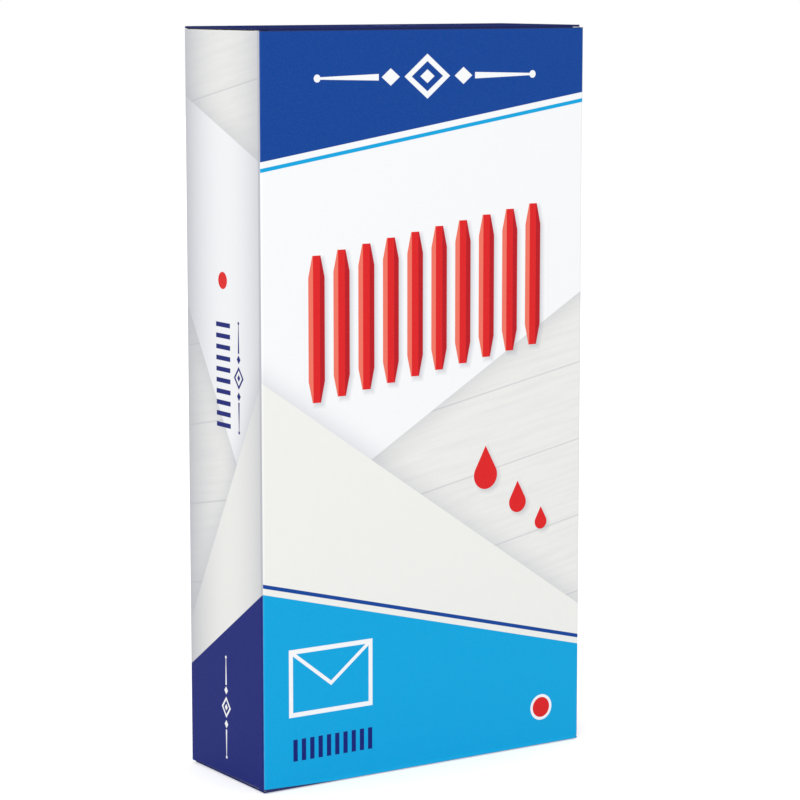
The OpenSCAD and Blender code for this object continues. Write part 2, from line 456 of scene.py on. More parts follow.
# At the carton's top, a dust flap's strip reaches along the side wall from here to here.
STRIP_FRONT = dust_low.y
STRIP_BACK = dust_high.y - DUST_SLANT * BOARD


def spin_fold(wall, end_y, centre_x, turn):
    """Spins a wall's end face through a quarter turn, about the centre of the fold."""
    pick(wall, "FACE", y=end_y)
    bpy.ops.mesh.spin(steps=FOLD_STEPS, angle=turn, center=(centre_x, end_y, 0), axis=(0, 0, 1))


def make_side_wall(name, low, high, inward, folds_at):
    """A side wall between low and high. inward is 1 on the left wall and -1 on the right one."""
    wall = add_block(name, low, high)
    centre_x = low.x + FOLD_R if inward > 0 else high.x - FOLD_R
    with editing(wall):
        for end_y in folds_at:
            spin_fold(wall, end_y, centre_x, math.copysign(math.pi / 2, end_y * inward))
        for y in (STRIP_FRONT, STRIP_BACK, -STRIP_FRONT, -STRIP_BACK):
            cut((0, y, 0), (0, 1, 0))
        for end_z, turned in ((high.z, 1), (low.z, -1)):
            for span in ((FRONT, STRIP_FRONT), (STRIP_BACK, BACK)):
                pick(wall, "FACE", z=end_z, y=tuple(sorted(turned * y for y in span)))
                extrude((0, 0, turned * CORNER_TAB))
    tidy(wall)
    return wall


left_wall = make_side_wall(
    "left_wall",
    Vector((LEFT, FRONT + FOLD_R, left_low.z)) + strip_up,
    Vector((LEFT + BOARD, BACK - FOLD_R, left_high.z)) - strip_up,
    inward=1,
    folds_at=(FRONT + FOLD_R, BACK - FOLD_R),
)
right_wall = make_side_wall(
    "right_wall",
    Vector((RIGHT - BOARD, FRONT + FOLD_R, right_low.z)) + strip_up,
    Vector((RIGHT, BACK, right_high.z)) - strip_up,
    inward=-1,
    folds_at=(FRONT + FOLD_R,),
)
dust_ends = [
    {"z": end_z, "y": tuple(sorted((turned * STRIP_FRONT, turned * STRIP_BACK)))}
    for end_z, turned in ((left_high.z - STRIP, 1), (left_low.z + STRIP, -1))
]
for wall in (left_wall, right_wall):
    round_rims(wall, fold_ends + dust_ends)
    print(wall.name, "has", len(wall.data.polygons), "faces")

# %% [markdown]
# ## The glued seam
#
# The glue flap folds forward from the back wall and lies inside the right wall. Its fold runs on
# to the lids, so that the corner has no hole, and its ends slant, so that they stay clear of the
# dust flaps. It is a block with a spun fold, and two cuts take the slants off.

# %% Model the glue flap
SEAM_SPARE = 0.3 * MM
SEAM_SLANT = 6.0 * MM

seam_x = seam_high.x
seam_foot = right_low.z - SEAM_SPARE
seam_head = right_high.z + SEAM_SPARE
glue_flap = add_block(
    "glue_flap_board",
    (seam_x - BOARD, seam_low.y, seam_foot),
    (seam_x, BACK - FOLD_R, seam_head),
)
with editing(glue_flap):
    spin_fold(glue_flap, BACK - FOLD_R, seam_x - FOLD_R, -math.pi / 2)
tidy(glue_flap)
run = BACK - seam_low.y
with editing(glue_flap):
    for end_z, turned in ((seam_head, 1), (seam_foot, -1)):
        cut((0, BACK, end_z), (0, -SEAM_SLANT, turned * run), remove=True)
round_rims(glue_flap, [{"x": back_high.x}])
print("The glue flap is", round(run / MM, 1), "mm wide")

# %% [markdown]
# ## Creases
#
# A lid or flap and the wall that it folds from meet at a right angle. Outside, the board turns
# over a small round; inside it stays nearly sharp. When the fold opens, the round straightens and
# the inside swells into a bead. For that to look right the mesh needs lines on both sides of the
# corner, so the crease helper adds them and bevels the outer corner.

# %% Helper for a crease
CREASE_STEPS = 8
INSIDE_LINES = 3


def crease(piece, corner, along_wall, along_flap):
    """Adds the lines of a fold and rounds its outer corner. The two directions leave the corner."""
    axes = [axis for axis in "xyz" if getattr(along_wall + along_flap, axis) != 0]
    with editing(piece):
        for way in (along_wall, along_flap):
            for line in range(1, INSIDE_LINES + 1):
                cut(corner + way * (BOARD + CREASE_R * line / INSIDE_LINES), way)
        pick(piece, "EDGE", **{axis: getattr(corner, axis) for axis in axes})
        round_picked(CREASE_R, CREASE_STEPS)
    tidy(piece)


def bend_over(piece, corner, along_wall, along_flap):
    """Bakes a piece's transform into its mesh."""
    corner + along_wall * CREASE_R
    corner + along_flap * CREASE_R
    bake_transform(piece)


print("A crease has", CREASE_STEPS, "steps outside and", 2 * INSIDE_LINES, "lines inside")

# %% [markdown]
# ## The lids
#
# A lid is the plate that closes one end. Behind, it runs over its fold into the wall that carries
# it. In front it ends in the tuck flap's fold, and beside that fold it has two short shoulders.
# Its sides draw in a little, so that it goes in without catching. The bottom lid is the same plate
# turned over, except that its strip fills the front wall's whole width.

# %% Model the lids
LID_TAPER = 0.5 * MM
TOP_HINGE = Vector((0, BACK, HEIGHT))
TUCK_HINGE = Vector((0, lid_low.y, HEIGHT))
DOWN, UP = Vector((0, 0, -1)), Vector((0, 0, 1))
FORWARD, BACKWARD = Vector((0, -1, 0)), Vector((0, 1, 0))
SHOULDER = CREASE_R + BOARD


def make_lid(name, strip_span):
    """The top lid, with a strip of the back wall between the two x of strip_span."""
    spare = Vector((LID_TAPER, 0, 0))
    low = Vector((lid_low.x, lid_low.y + SHOULDER, lid_low.z)) - spare
    lid = add_block(name, low, Vector((lid_high.x, BACK, HEIGHT)) + spare)
    with editing(lid):
        cut((0, BACK - BOARD, 0), BACKWARD)
        for x in (*strip_span, tuck_low.x, tuck_high.x):
            cut((x, 0, 0), (1, 0, 0))
        pick(lid, "FACE", x=tuple(strip_span), y=(BACK - BOARD, BACK), z=lid_low.z)
        extrude(DOWN * STRIP)
        for span in ((LEFT - LID_TAPER, tuck_low.x), (tuck_high.x, RIGHT + LID_TAPER)):
            pick(lid, "FACE", x=span, y=lid_low.y + SHOULDER)
            extrude(FORWARD * SHOULDER)
        for side in (-1, 1):
            taper = (side * (lid_high.y - lid_low.y), -LID_TAPER, 0)
            cut((side * lid_high.x, BACK, 0), taper, remove=True)
    crease(lid, TOP_HINGE, DOWN, FORWARD)
    round_rims(lid, [{"z": lid_low.z - STRIP}, {"y": lid_low.y + SHOULDER, "x": (tuck_low.x, tuck_high.x)}])
    return lid


def turn_over(piece):
    """Turns a finished piece of the top closure half round, to the bottom of the carton."""
    with editing(piece):
        bpy.ops.mesh.select_all(action="SELECT")
        bpy.ops.transform.rotate(
            value=math.pi, orient_axis="X", orient_type="GLOBAL", center_override=carton_middle
        )
    return piece


top_lid = make_lid("top_lid_board", (back_low.x, back_high.x))
bottom_lid = turn_over(make_lid("bottom_lid_board", (front_low.x, front_high.x)))
print("A lid is", round((lid_high.y - lid_low.y) / MM, 1), "mm deep")

# %% [markdown]
# ## The tuck flaps
#
# A tuck flap holds the lid shut. Its lower corners are round, so that it finds the slot, and it is
# curled a little, so that it springs against the wall. The curl is put in as by rolling it over a
# rod: the flap is cut into narrow rows, and each row turns all that hangs below it a little more.
# The bottom one is a copy, turned over.

# %% Model the tuck flaps
TUCK_CORNER_R = 5.0 * MM
TUCK_CORNER_STEPS = 10
CURL_ROWS = 8
TUCK_R = 24.8 * MM

# The flap is a little longer than it reaches down when curled.
tuck_length = TUCK_R * math.asin((lid_low.z - tuck_low.z) / TUCK_R)
tuck_flat_z = lid_low.z - tuck_length


def curl(tuck):
    """Rolls the flap inwards, one row at a time from its tip to its fold."""
    row = tuck_length / CURL_ROWS
    turn = tuck_length / TUCK_R / CURL_ROWS
    with editing(tuck):
        for number in range(1, CURL_ROWS):
            cut((0, 0, lid_low.z - number * row), DOWN)
        for number in reversed(range(CURL_ROWS)):
            line = Vector((0, lid_low.y, lid_low.z - number * row))
            pick(tuck, "VERT", z=(0, line.z - row / 2))
            bpy.ops.transform.rotate(
                value=-turn, orient_axis="X", orient_type="GLOBAL", center_override=line
            )


def make_tuck(name):
    """The top tuck flap, with the strip of the lid that its fold takes in."""
    outer_y = lid_low.y
    tuck = add_block(
        name, (tuck_low.x, outer_y, tuck_flat_z), (tuck_high.x, outer_y + BOARD, lid_low.z)
    )
    with editing(tuck):
        for x in (tuck_low.x, tuck_high.x):
            pick(tuck, "EDGE", x=x, z=tuck_flat_z)
            round_picked(TUCK_CORNER_R, TUCK_CORNER_STEPS)
        pick(tuck, "FACE", z=lid_low.z)
        extrude(UP * BOARD)
        pick(tuck, "FACE", y=outer_y + BOARD, z=(lid_low.z, HEIGHT))
        extrude(BACKWARD * CREASE_R)
    crease(tuck, TUCK_HINGE, BACKWARD, DOWN)
    curl(tuck)
    round_rims(tuck, [{"y": outer_y + SHOULDER}])
    return tuck


def copy_of(piece, name):
    """A copy of a piece, with a mesh of its own. It is selected alone."""
    copy = piece.copy()
    copy.data = piece.data.copy()
    copy.name = copy.data.name = name
    bpy.context.collection.objects.link(copy)
    select_only(copy)
    return copy


top_tuck = make_tuck("top_tuck_board")
bottom_tuck = turn_over(copy_of(top_tuck, "bottom_tuck_board"))
print("A tuck flap is", round(tuck_length / MM, 1), "mm long and curls on a radius of", TUCK_R / MM, "mm")

# %% [markdown]
# ## The dust flaps
#
# Two dust flaps fold in from the side walls under each lid and keep the sticks from rattling out
# at the corners. One edge slants away from the lid's fold, so that flap and lid never catch, and
# the tip has two cut corners. All four are one shape: it is modelled once at the top left, copied
# and mirrored to the right, and copies of both are turned over to the bottom.

# %% Model the dust flaps
DUST_CHAMFER = 2.0 * MM
LEFT_HINGE = Vector((LEFT, 0, dust_high.z))
INWARD = Vector((1, 0, 0))


def make_dust_flap(name):
    """The top left dust flap, with the strip of the side wall that its fold takes in."""
    fold_x = LEFT + BOARD
    flap = add_block(name, (fold_x, dust_low.y, dust_low.z), dust_high)
    tip_x, back_y = dust_high.x, dust_high.y
    tip_back_y = back_y - DUST_SLANT * (tip_x - LEFT)
    with editing(flap):
        cut((LEFT, back_y, 0), (DUST_SLANT, 1, 0), remove=True)
        cut((tip_x, dust_low.y + DUST_CHAMFER, 0), (1, -1, 0), remove=True)
        cut((tip_x, tip_back_y - DUST_CHAMFER, 0), (1 + DUST_SLANT, 1, 0), remove=True)
        pick(flap, "FACE", x=fold_x)
        extrude((-BOARD, 0, 0))
        pick(flap, "FACE", x=(LEFT, fold_x), z=dust_low.z)
        extrude(DOWN * STRIP)
    crease(flap, LEFT_HINGE, DOWN, INWARD)
    round_rims(flap, [{"z": dust_low.z - STRIP}])
    return flap


def mirror_over(piece, middle_x):
    """Mirrors a finished piece from left to right. A mirror turns faces inside out, so it is tidied."""
    with editing(piece):
        bpy.ops.mesh.select_all(action="SELECT")
        bpy.ops.transform.resize(value=(-1, 1, 1), center_override=(middle_x, 0, 0))
    tidy(piece)
    return piece


top_left_dust = make_dust_flap("top_left_dust_board")
top_right_dust = mirror_over(copy_of(top_left_dust, "top_right_dust_board"), carton_middle.x)
dust_flaps = {("top", "left"): top_left_dust, ("top", "right"): top_right_dust}
for side in ("left", "right"):
    flap = copy_of(dust_flaps["top", side], f"bottom_{side}_dust_board")
    dust_flaps["bottom", side] = turn_over(flap)
print("A dust flap is", round((dust_high.x - LEFT) / MM, 1), "mm long")

# %% [markdown]
# ## The sticks of sealing wax
#
# Wax is poured into an open metal mould. The mould's walls lean outwards, so that the stick drops
# out, and its ends are filed to a taper. Each of these faces is flat, so the stick starts as a
# block and a loop of cuts takes the wedges away, as a file would. The side that was open is the
# wide one: the wax sinks there a little as it sets, which an inset, pushed in, gives. A bevel
# softens all edges, as no mould is quite sharp.

# %% Model one stick
STICK_DRAFT = 0.5 * MM
SLOPE_W = 3.0 * MM
SLOPE_H = 3.6 * MM
TIP_L = 20.0 * MM
TIP_W = 9.0 * MM
TIP_T = 4.8 * MM
STICK_EDGE_R, STICK_EDGE_STEPS = 0.45 * MM, 3
STICK_EDGE_ANGLE = math.radians(5)
SINK_RIM = 1.5 * MM
SINK_DEPTH = 0.3 * MM

stick_low, stick_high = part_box("stick_6")
stick_w, stick_t, stick_l = stick_high - stick_low
half_w = stick_w / 2
slope_start_x = half_w - STICK_DRAFT
slope_start_y = stick_t - SLOPE_H
tip_in_w, tip_in_t = half_w - TIP_W / 2, (stick_t - TIP_T) / 2
wedges = []
for side in (-1, 1):
    wedges.append(((side * half_w, 0, 0), (side * slope_start_y, STICK_DRAFT, 0)))
    wedges.append(((side * slope_start_x, slope_start_y, 0), (side * SLOPE_H, SLOPE_W, 0)))
    for end_z, turned in ((0, -1), (stick_l, 1)):
        wedges.append(((side * TIP_W / 2, 0, end_z), (side * TIP_L, 0, turned * tip_in_w)))
        tip_y = (stick_t + side * TIP_T) / 2
        wedges.append(((0, tip_y, end_z), (0, side * TIP_L, turned * tip_in_t)))

first_stick = add_block("wax_stick", (-half_w, 0, 0), (half_w, stick_t, stick_l))
with editing(first_stick):
    for point, direction in wedges:
        cut(point, direction, remove=True)
    pick(first_stick, "FACE", y=0)
    bpy.ops.mesh.inset(thickness=SINK_RIM)
    bpy.ops.transform.translate(value=(0, SINK_DEPTH, 0))
tidy(first_stick)
soften = first_stick.modifiers.new("soft_edges", "BEVEL")
soften.width = STICK_EDGE_R
soften.segments = STICK_EDGE_STEPS
soften.limit_method = "ANGLE"
soften.angle_limit = STICK_EDGE_ANGLE
bpy.ops.object.modifier_apply(modifier=soften.name)
bpy.ops.object.shade_smooth_by_angle(angle=SMOOTH_BELOW)
print("A stick has", len(first_stick.data.polygons), "faces after", len(wedges), "cuts")

# %% Copy the stick to its ten places
STICK_COUNT = 10

sticks = []
for number in range(1, STICK_COUNT + 1):
    low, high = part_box(f"stick_{number}")
    in_front = low.y < 0
    stick = copy_of(first_stick, f"wax_stick_{number:02d}")
    stick.rotation_euler.z = math.pi if in_front else 0
    stick.location = ((low.x + high.x) / 2, high.y if in_front else low.y, low.z)
    bpy.ops.object.transform_apply(location=True, rotation=True, scale=True)
    sticks.append(stick)
bpy.data.objects.remove(first_stick)
print("The carton holds", len(sticks), "sticks")

# %% [markdown]
# ## Drawing print with nodes
#
# The print could be an image wrapped round the box, but an image has a fixed fineness and lives in
# another file. Here it is drawn in the shader. A shape is a number that says how far a point lies
# inside it, in millimetres: positive inside, nought on the outline, negative outside. A disc is
# its radius less the distance from its middle. The smaller of two shapes is where both are, and
# the larger is where either is. A small class turns Python's arithmetic into Math nodes, so that a
# shape reads as a formula.

# %% A value that varies over the surface
class Value:
    """A number that varies over the surface. Arithmetic on it adds Math nodes."""

    def __init__(self, tree, socket):
        self.tree = tree
        self.socket = socket

    def maths(self, operation, *others):
        inputs = [other.socket if isinstance(other, Value) else other for other in others]
        return Value(self.tree, math_node(self.tree, operation, self.socket, *inputs))

    def __add__(self, other):
        return self.maths("ADD", other)

    def __sub__(self, other):
        return self.maths("SUBTRACT", other)

    def __rsub__(self, other):
        return self.maths("MULTIPLY_ADD", -1.0, other)

    def __mul__(self, other):
        return self.maths("MULTIPLY", other)

    def __truediv__(self, other):
        return self.maths("DIVIDE", other)

    def __abs__(self):
        return self.maths("ABSOLUTE")

    def __neg__(self):
        return self.maths("MULTIPLY", -1.0)


def both(first, second):
    """Where both shapes are."""
    return first.maths("MINIMUM", second)


def either(first, second):
    """Where at least one of two shapes is."""
    return first.maths("MAXIMUM", second)


print("A shape is a Value, in millimetres inside its outline")

# %% [markdown]
# ## Ink
#
# An ink covers the board where its shape is positive, and ends within a tenth of a millimetre. The
# same ramp made much wider gives the soft shadow that a sheet of paper throws beside its edge.

# %% Lay one colour over another
INK_EDGE = 0.08  # millimetres


def share(shape, width=INK_EDGE, offset=0.5):
    """Turns a shape into a share from 0 to 1, over a soft edge of that width."""
    ramp = math_node(shape.tree, "MULTIPLY_ADD", shape.socket, 1 / width, offset, use_clamp=True)
    return Value(shape.tree, ramp)


def over(below, amount, above):
    """Lays a colour over another one. Both are sockets or fixed colours."""
    inputs = {0: amount.socket, 6: below, 7: above}
    return add_node(amount.tree, "ShaderNodeMix", inputs, data_type="RGBA").outputs[2]


def ink(below, shape, colour):
    """Prints a shape in one colour."""
    return over(below, share(shape), colour)


def srgb(red, green, blue):
    """A colour from its 0 to 255 values on screen."""
    def linear(part):
        part /= 255
        return part / 12.92 if part <= 0.04045 else ((part + 0.055) / 1.055) ** 2.4
    return (linear(red), linear(green), linear(blue), 1.0)


WHITE = srgb(250, 251, 253)
TABLE = srgb(240, 240, 237)
WARM_SHEET = srgb(243, 243, 239)
SHADOW = srgb(178, 180, 188)
ROYAL = srgb(8, 68, 153)
CYAN = srgb(0, 168, 226)
NAVY = srgb(12, 30, 117)
LID_NAVY = srgb(38, 47, 98)
SOFT_BLUE = srgb(96, 118, 176)
PALE_WEAR_AND_HIGHLIGHT = srgb(196, 202, 222)
RED = srgb(226, 34, 36)
DARK_RED = srgb(188, 22, 32)
LIGHT_RED = srgb(244, 120, 100)
print("Ink ends within", INK_EDGE, "mm")

# %% [markdown]
# ## Plain shapes
#
# Printers' ornaments are built from a few plain forms: a slanting line, a disc, a bar and a
# lozenge. Each takes how far the point lies across and up from the form's middle. Noise isn't a
# shape but works in the same sums, and gives paper, wood and wear their unevenness.

# %% Line, disc, bar, lozenge, outline and noise
def below_line(across, up, left_up, right_up, span):
    """Everything below a line that runs from left_up to right_up over the span."""
    slope = (right_up - left_up) / span
    middle = (left_up + right_up) / 2
    return (across * slope + middle - up) * (1 / math.hypot(1, slope))


def disc(across, up, radius):
    """A disc about the middle."""
    return radius - (across * across + up * up).maths("SQRT")


def bar(across, up, half_w, half_h):
    """An upright bar."""
    return both(half_w - abs(across), half_h - abs(up))


def lozenge(across, up, half_w, half_h):
    """A lozenge that stands on its point."""
    size = half_w * half_h / math.hypot(half_w, half_h)
    return (1.0 - (abs(across) / half_w + abs(up) / half_h)) * size


def outline(shape, width):
    """A line along a shape's outline."""
    return width / 2 - abs(shape)


def noise(tree, place, scale, detail):
    """Noise about 0.5. A greater scale makes it finer, and more detail makes it rougher."""
    node = add_node(tree, "ShaderNodeTexNoise", {"Vector": place, "Scale": scale, "Detail": detail})
    return Value(tree, node.outputs[0])


print("Four plain shapes, an outline and noise")

# %% [markdown]
# ## Ornament, sticks, drops and letter
#
# The carton's print is a plain one. Its ornament is the lozenge and tapering rules that printers
# have long set as a divider. Ten little faceted sticks say what is inside and how many. Three
# drops stand for melting, and a plain envelope for letters. Small bars in a row count the sticks
# again on the foot. All their sizes are in millimetres on the flat board.

# %% The ornament
FACE_W = (RIGHT - LEFT) / MM
SIDE_W = (BACK - FRONT) / MM
FACE_H = HEIGHT / MM
# At size 1: how far out each form stands, and its half width and half height.
RING, HOLE, HEART = (6.4, 5.2), (4.4, 3.5), (2.0, 1.6)
SMALL_OUT, SMALL = 10.2, (2.5, 2.0)
RULE_OUT, RULE = 21.5, (8.0, 1.0)
RULE_HALF_T, RULE_TAPER = 0.75, 0.03
DOT_OUT, DOT_R = 30.2, 0.9


def ornament(across, up, size):
    """Lozenges and tapering rules in a row, 62 millimetres long at size 1."""
    across, up = across / size, up / size
    side = abs(across)
    ring = both(lozenge(across, up, *RING), -lozenge(across, up, *HOLE))
    heart = lozenge(across, up, *HEART)
    small = lozenge(side - SMALL_OUT, up, *SMALL)
    taper = RULE_HALF_T - abs(up) - (side - (RULE_OUT - RULE[0])) * RULE_TAPER
    rule = both(bar(side - RULE_OUT, up, *RULE), taper)
    dot = disc(side - DOT_OUT, up, DOT_R)
    return either(either(either(ring, heart), either(small, rule)), dot) * size


print("The ornament is", 2 * (DOT_OUT + DOT_R), "mm long at size 1")

# %% Count row, drop and letter
DROP_SIDE_ACROSS, DROP_SIDE_UP = 0.88, 0.475  # the direction that a drop's straight side faces
FLAP_DIP = 0.15


def count_row(across, up, pitch, half_w, half_h):
    """A row of upright bars, as many as there are sticks."""
    nearest = (across / pitch).maths("FRACT") - 0.5
    row = bar(nearest * pitch, up, half_w, half_h)
    return both(row, STICK_COUNT * pitch / 2 - abs(across))


def drop(across, up, radius):
    """A drop with a round foot. Its sides leave the round smoothly and meet in a point."""
    sides = radius - abs(across) * DROP_SIDE_ACROSS - up * DROP_SIDE_UP
    return either(disc(across, up, radius), both(sides, up - radius * DROP_SIDE_UP))


def letter(across, up, half_w, half_h, line):
    """The outline of an envelope with its flap."""
    whole = bar(across, up, half_w, half_h)
    flap = outline(up - abs(across) * (half_h * (1 + FLAP_DIP) / half_w) + half_h * FLAP_DIP, line)
    return either(outline(whole, line), both(flap, whole))


print("The bars count", STICK_COUNT, "sticks")

# %% [markdown]
# ## A pale table with paper on it
#
# Behind the motifs lies a table of pale boards with two big sheets of paper on it. Noise that is
# stretched along the boards gives the wood its streaks. Each sheet is bounded by slanting lines.
# Its shadow is laid first, fading away from its edge, and then the sheet covers the shadow's
# inner half. The lines meet at the folds, so table and sheets run right round the carton.

# %% The pale ground
# JOINT, STREAK and SHEET_SHADOW say how strongly each one shows, from 0 to 1.
PLANK_W, JOINT_W, JOINT_EDGE, JOINT = 19.0, 0.3, 0.25, 0.45
PLANK_TILT = 0.2
STREAK_ACROSS, STREAK_UP = 0.05, 0.7
STREAK_NOISE, STREAK_FROM, STREAK = (1.0, 5.0), 0.42, 0.38
SHEET_SHADOW_W, SHEET_SHADOW = 7.0, 0.34
# Where each slanting line meets the front's left and right fold, in millimetres above the foot.
CAP_LEFT, CAP_RIGHT = 146, 160
FOOT_LEFT, FOOT_RIGHT = 47, 24
WHITE_SHEET_LEFT, WHITE_SHEET_RIGHT = 58, 112
WARM_SHEET_LEFT, WARM_SHEET_RIGHT = 96, 34


def table(across, up):
    """Pale boards with dark joints and streaks of grain."""
    over_boards = up - across * PLANK_TILT
    stretch = {0: (across * STREAK_ACROSS).socket, 1: (over_boards * STREAK_UP).socket}
    stretched = add_node(up.tree, "ShaderNodeCombineXYZ", stretch).outputs[0]
    streaks = noise(up.tree, stretched, *STREAK_NOISE)
    colour = over(TABLE, (streaks - STREAK_FROM) * STREAK, SHADOW)
    from_joint = abs((over_boards / PLANK_W).maths("FRACT") - 0.5) * PLANK_W
    return over(colour, share(JOINT_W / 2 - from_joint, JOINT_EDGE) * JOINT, SHADOW)


def lay_sheet(colour, sheet, tone):
    """Lays a sheet of paper on the ground, with its shadow."""
    shadow = share(sheet, SHEET_SHADOW_W, 1.0)
    return ink(over(colour, shadow * shadow * SHEET_SHADOW, SHADOW), sheet, tone)


def ground(across, up, span, on_side):
    """The table with its two sheets. On a side wall all lines run the other way."""
    def line(left_up, right_up):
        if on_side:
            left_up, right_up = right_up, left_up
        return below_line(across, up, left_up, right_up, span)
    white_sheet = both(line(CAP_LEFT, CAP_RIGHT), -line(WHITE_SHEET_LEFT, WHITE_SHEET_RIGHT))
    colour = lay_sheet(table(across, up), white_sheet, WHITE)
    return lay_sheet(colour, line(WARM_SHEET_LEFT, WARM_SHEET_RIGHT), WARM_SHEET)


print("The face is", round(FACE_W), "mm wide and the side", round(SIDE_W), "mm")

# %% [markdown]
# ## The broad face
#
# The front and the back carry the same print: a royal blue cap with the ornament, the ten sticks
# stepping up across the middle, and a cyan foot. A stick's picture has three tones, as its three
# front facets have, and both ends taper. The lids' navy runs on past the top fold as a thin line.
# At the bottom, a sliver in the lids' navy that narrows to nothing is painted shade under the
# bottom fold.

# %% The row of sticks
STICK_PITCH, STICK_HALF_W, STICK_HALF_H, STICK_TIP = 6.8, 2.2, 17.0, 5.0
STICK_TAPER, STICK_FACET = 0.22, 0.42
STEP = (CAP_RIGHT - CAP_LEFT) / FACE_W * STICK_PITCH
SHADE_MOVE, SHADE_W = 0.7, 1.6
STICK_SHADE, DROP_SHADE = 0.6, 0.5


def shade(colour, shape, strength):
    """Prints the soft shadow of a motif."""
    return over(colour, share(shape, SHADE_W) * strength, SHADOW)


def stick_row(across, up):
    """The outline of ten sticks, each a step higher, and how far a point lies beside the nearest."""
    cell = across / STICK_PITCH
    beside = (cell.maths("FRACT") - 0.5) * STICK_PITCH
    along = up - (cell.maths("FLOOR") + 0.5) * STEP
    taper = (abs(along) - (STICK_HALF_H - STICK_TIP)).maths("MAXIMUM", 0.0) * STICK_TAPER
    body = both(STICK_HALF_W - taper - abs(beside), STICK_HALF_H - abs(along))
    return both(body, STICK_COUNT * STICK_PITCH / 2 - abs(across)), beside


def ten_sticks(colour, across, up):
    """Ten faceted sticks side by side, with their shadow."""
    shadow, _ = stick_row(across - SHADE_MOVE, up + SHADE_MOVE)
    body, beside = stick_row(across, up)
    facet = STICK_HALF_W * STICK_FACET
    colour = ink(shade(colour, shadow, STICK_SHADE), body, RED)
    colour = ink(colour, both(body, -beside - facet), LIGHT_RED)
    return ink(colour, both(body, beside - facet), DARK_RED)


print("Each drawn stick stands", round(STEP, 2), "mm higher than the one before")

# %% Artwork of the broad face
BAND_GAP, BAND_W = 1.9, 0.9
ORNAMENT_UP, STICKS_UP = 164.5, 112.0
DROPS = ((17.0, 69.0, 3.4), (26.5, 61.5, 2.5), (33.5, 56.0, 1.8))
LETTER_PLACE, LETTER = (-27.0, 25.0), (11.0, 7.5, 1.1)
COUNT_PLACE, COUNT = (-26.5, 9.0), (2.3, 0.6, 2.6)
SPOT_PLACE, SPOT_R, SPOT_RIM_R = (34.0, 9.5), 2.5, 3.2
FOLD_INK = 0.8
SHADE_SLIP_LEFT, SHADE_SLIP_RIGHT = 0.9, -2.4


def face_art(across, up):
    """The print of the front and the back wall, with a painted shade sliver at the foot."""
    def at(place):
        return across - place[0], up - place[1]

    colour = ground(across, up, FACE_W, on_side=False)
    cap = -below_line(across, up, CAP_LEFT, CAP_RIGHT, FACE_W)
    colour = ink(colour, outline(cap + BAND_GAP, BAND_W), CYAN)
    colour = ink(colour, cap, ROYAL)
    colour = ink(colour, ornament(across, up - ORNAMENT_UP, 1.0), WHITE)
    colour = ten_sticks(colour, across, up - STICKS_UP)
    for *place, radius in DROPS:
        beside, above = at(place)
        shadow = drop(beside - SHADE_MOVE, above + SHADE_MOVE, radius)
        colour = ink(shade(colour, shadow, DROP_SHADE), drop(beside, above, radius), RED)
    foot = below_line(across, up, FOOT_LEFT, FOOT_RIGHT, FACE_W)
    colour = ink(colour, outline(foot + BAND_GAP, BAND_W), ROYAL)
    colour = ink(colour, foot, CYAN)
    colour = ink(colour, letter(*at(LETTER_PLACE), *LETTER), WHITE)
    colour = ink(colour, count_row(*at(COUNT_PLACE), *COUNT), NAVY)
    colour = ink(colour, disc(*at(SPOT_PLACE), SPOT_RIM_R), WHITE)
    colour = ink(colour, disc(*at(SPOT_PLACE), SPOT_R), RED)
    # Painted shade under the bottom fold: a navy sliver that narrows to nothing.
    colour = ink(colour, below_line(across, up, SHADE_SLIP_LEFT, SHADE_SLIP_RIGHT, FACE_W), LID_NAVY)
    return ink(colour, up - (FACE_H - FOLD_INK), LID_NAVY)


print("The broad face has", len(DROPS), "drops")

# %% [markdown]
# ## The narrow sides
#
# A side wall carries the sheets and a navy foot on, a small upright ornament, and a count of
# little bars with a red dot for the colour of the wax. A grey painted shade lies over its ground,
# so that the side looks less lit than the face, thicker towards both folds, and a thin painted
# shade line ends it at each fold. The lids are navy. A dust flap is white, but the side's colours
# run on a little way past its fold.

# %% Artwork of the side walls
SHADE_PAINT_MIDDLE, SHADE_PAINT_TO_FOLDS = 1.5, 0.62
SHADE_PAINT_ALL_OVER = 0.1
FOLD_SHADE_PAINT_W, FOLD_SHADE_PAINT_EDGE, FOLD_SHADE_PAINT = 0.75, 0.4, 0.8
SIDE_ROW_UP, SIDE_COUNT = 96.0, (2.6, 0.55, 3.2)
SIDE_ORNAMENT_ACROSS, SIDE_ORNAMENT_SIZE = 7.0, 0.42
SIDE_SPOT_UP, SIDE_SPOT_R = 118.0, 2.0
FOOT_ORNAMENT_UP, FOOT_ORNAMENT_SIZE = 17.0, 0.4


def side_art(across, up):
    """The print of the side walls, with painted shade over its ground."""
    colour = ground(across, up, SIDE_W, on_side=True)
    edge = abs(across - SHADE_PAINT_MIDDLE) / (SIDE_W / 2)
    # Painted shade: the ground is darkened all over, and more towards both folds, as if less lit.
    colour = over(colour, edge * edge * SHADE_PAINT_TO_FOLDS + SHADE_PAINT_ALL_OVER, SHADOW)
    # Painted shade along each fold: a thin grey line.
    painted_fold_shade = share(abs(across) - (SIDE_W / 2 - FOLD_SHADE_PAINT_W), FOLD_SHADE_PAINT_EDGE)
    colour = over(colour, painted_fold_shade * FOLD_SHADE_PAINT, SHADOW)
    along = up - SIDE_ROW_UP
    colour = ink(colour, count_row(along, across, *SIDE_COUNT), NAVY)
    colour = ink(colour, ornament(along, across - SIDE_ORNAMENT_ACROSS, SIDE_ORNAMENT_SIZE), NAVY)
    colour = ink(colour, disc(across, up - SIDE_SPOT_UP, SIDE_SPOT_R), RED)
    colour = ink(colour, below_line(across, up, FOOT_RIGHT, FOOT_LEFT, SIDE_W), NAVY)
    return ink(colour, ornament(up - FOOT_ORNAMENT_UP, across, FOOT_ORNAMENT_SIZE), WHITE)


